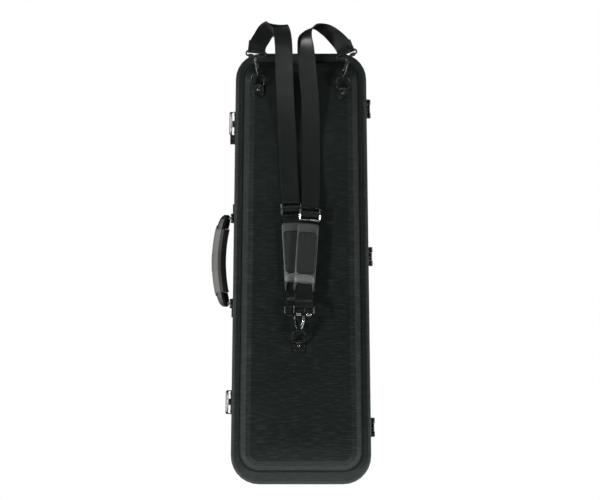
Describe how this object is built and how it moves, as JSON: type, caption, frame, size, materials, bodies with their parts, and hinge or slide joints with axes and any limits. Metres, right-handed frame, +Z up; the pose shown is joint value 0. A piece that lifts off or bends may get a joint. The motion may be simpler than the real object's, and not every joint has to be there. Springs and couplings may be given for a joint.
{
  "type": "violin case",
  "caption": "Oblong hard violin case standing on its lower end, with a hinged lid, draw latches, padded cradle, carrying handle and crossed shoulder straps on its back.",
  "frame": {"origin": "middle of the base shell's flat lower end face, which the case stands on", "axes": "+Z up along the case, +Y from the back with the straps towards the lid, +X towards the hinges"},
  "size_m": [0.3007, 0.1889, 0.8505],
  "materials": {
    "shell": "black moulded shell with fine horizontal brushing",
    "valance": "black rim profile",
    "seal": "soft black seal",
    "plush": "grey plush over foam",
    "lining": "light grey velour lining",
    "webbing": "black woven webbing",
    "pad": "soft grey synthetic leather",
    "latch_chrome": "bright plated metal",
    "dark_metal": "dark nickel finish",
    "black_plastic": "black moulded plastic",
    "grip": "grey moulded grip with fine ribs",
    "leather": "black synthetic leather"
  },
  "bodies": {
    "base": {"base_shell": "shell", "base_valance": "valance", "rim_seal": "seal", "cradle_floor": "plush", "cradle_surround": "plush", "neck_and_accessory_block": "plush", "neck_strap": "webbing", "hinge_base_leaf_bottom": "dark_metal", "hinge_pin_bottom": "latch_chrome", "hinge_base_leaf_middle": "dark_metal", "hinge_pin_middle": "latch_chrome", "hinge_base_leaf_top": "dark_metal", "hinge_pin_top": "latch_chrome", "latch_base_lower": "latch_chrome", "handle_bracket_lower": "dark_metal", "latch_base_upper": "latch_chrome", "handle_bracket_upper": "dark_metal", "ring_bracket_centre": "dark_metal", "ring_centre": "dark_metal", "ring_bracket_top_left": "dark_metal", "ring_top_left": "dark_metal", "ring_bracket_top_right": "dark_metal", "ring_top_right": "dark_metal", "top_hook_left": "dark_metal", "top_loop_left": "dark_metal", "upper_strap_left": "webbing", "slider_left": "dark_metal", "shoulder_pad_left": "pad", "lower_strap_left": "webbing", "bottom_loop_left": "dark_metal", "bottom_hook_left": "dark_metal", "top_hook_right": "dark_metal", "top_loop_right": "dark_metal", "upper_strap_right": "webbing", "slider_right": "dark_metal", "shoulder_pad_right": "pad", "lower_strap_right": "webbing", "bottom_loop_right": "dark_metal", "bottom_hook_right": "dark_metal"},
    "lid": {"lid_shell": "shell", "lid_valance": "valance", "lid_lining": "lining", "bow_rest": "plush", "bow_tip_pocket": "lining", "hinge_lid_leaf_bottom": "dark_metal", "hinge_lid_leaf_middle": "dark_metal", "hinge_lid_leaf_top": "dark_metal", "latch_keeper_lower": "latch_chrome", "latch_keeper_upper": "latch_chrome"},
    "handle": {"handle_sleeve": "grip", "handle_end_cap_lower": "leather", "handle_end_cap_upper": "leather"},
    "lever_lower": {"latch_lever_lower": "latch_chrome"},
    "bail_lower": {"latch_bail_lower": "latch_chrome"},
    "lever_upper": {"latch_lever_upper": "latch_chrome"},
    "bail_upper": {"latch_bail_upper": "latch_chrome"},
    "compartment_lid_left": {"compartment_lid_left": "plush"},
    "compartment_lid_right": {"compartment_lid_right": "plush"},
    "bow_spinner_left": {"bow_spinner_left": "black_plastic"},
    "bow_spinner_right": {"bow_spinner_right": "black_plastic"}
  },
  "joints": [
    {"name": "lid_hinge", "type": "hinge", "parent": "base", "child": "lid", "pos_m": [0.12849, 0.0332, 0.41776], "axis": [0.0137, 0, -0.9999], "range_deg": [0, 105]},
    {"name": "latch_lever_lower_turn", "type": "hinge", "parent": "base", "child": "lever_lower", "pos_m": [-0.13515, 0.0212, 0.1498], "axis": [-0.0137, 0, -0.9999], "range_deg": [0, 100]},
    {"name": "latch_bail_lower_turn", "type": "hinge", "parent": "lever_lower", "child": "bail_lower", "pos_m": [-0.13515, 0.0112, 0.1498], "axis": [-0.0137, 0, -0.9999], "range_deg": [-100, 0]},
    {"name": "latch_lever_upper_turn", "type": "hinge", "parent": "base", "child": "lever_upper", "pos_m": [-0.12815, 0.0212, 0.6621], "axis": [-0.0137, 0, -0.9999], "range_deg": [0, 100]},
    {"name": "latch_bail_upper_turn", "type": "hinge", "parent": "lever_upper", "child": "bail_upper", "pos_m": [-0.12815, 0.0112, 0.6621], "axis": [-0.0137, 0, -0.9999], "range_deg": [-100, 0]},
    {"name": "handle_swing", "type": "hinge", "parent": "base", "child": "handle", "pos_m": [-0.1275, 0.0032, 0.40975], "axis": [-0.0137, 0, -0.9999], "range_deg": [-78, 18]},
    {"name": "compartment_lid_left_hinge", "type": "hinge", "parent": "base", "child": "compartment_lid_left", "pos_m": [-0.1017, 0.0249, 0.559], "axis": [0, 0, 1], "range_deg": [0, 90]},
    {"name": "compartment_lid_right_hinge", "type": "hinge", "parent": "base", "child": "compartment_lid_right", "pos_m": [0.1017, 0.0249, 0.559], "axis": [0, 0, -1], "range_deg": [0, 90]},
    {"name": "bow_spinner_left_turn", "type": "hinge", "parent": "lid", "child": "bow_spinner_left", "pos_m": [-0.045, 0.0949, 0.12], "axis": [0, 1, 0], "range_deg": [0, 90]},
    {"name": "bow_spinner_right_turn", "type": "hinge", "parent": "lid", "child": "bow_spinner_right", "pos_m": [0.045, 0.0949, 0.12], "axis": [0, 1, 0], "range_deg": [0, 90]}
  ],
  "couplings": [
    {"joint": "latch_bail_lower_turn", "follows": "latch_lever_lower_turn", "ratio": -1},
    {"joint": "latch_bail_upper_turn", "follows": "latch_lever_upper_turn", "ratio": -1}
  ]
}
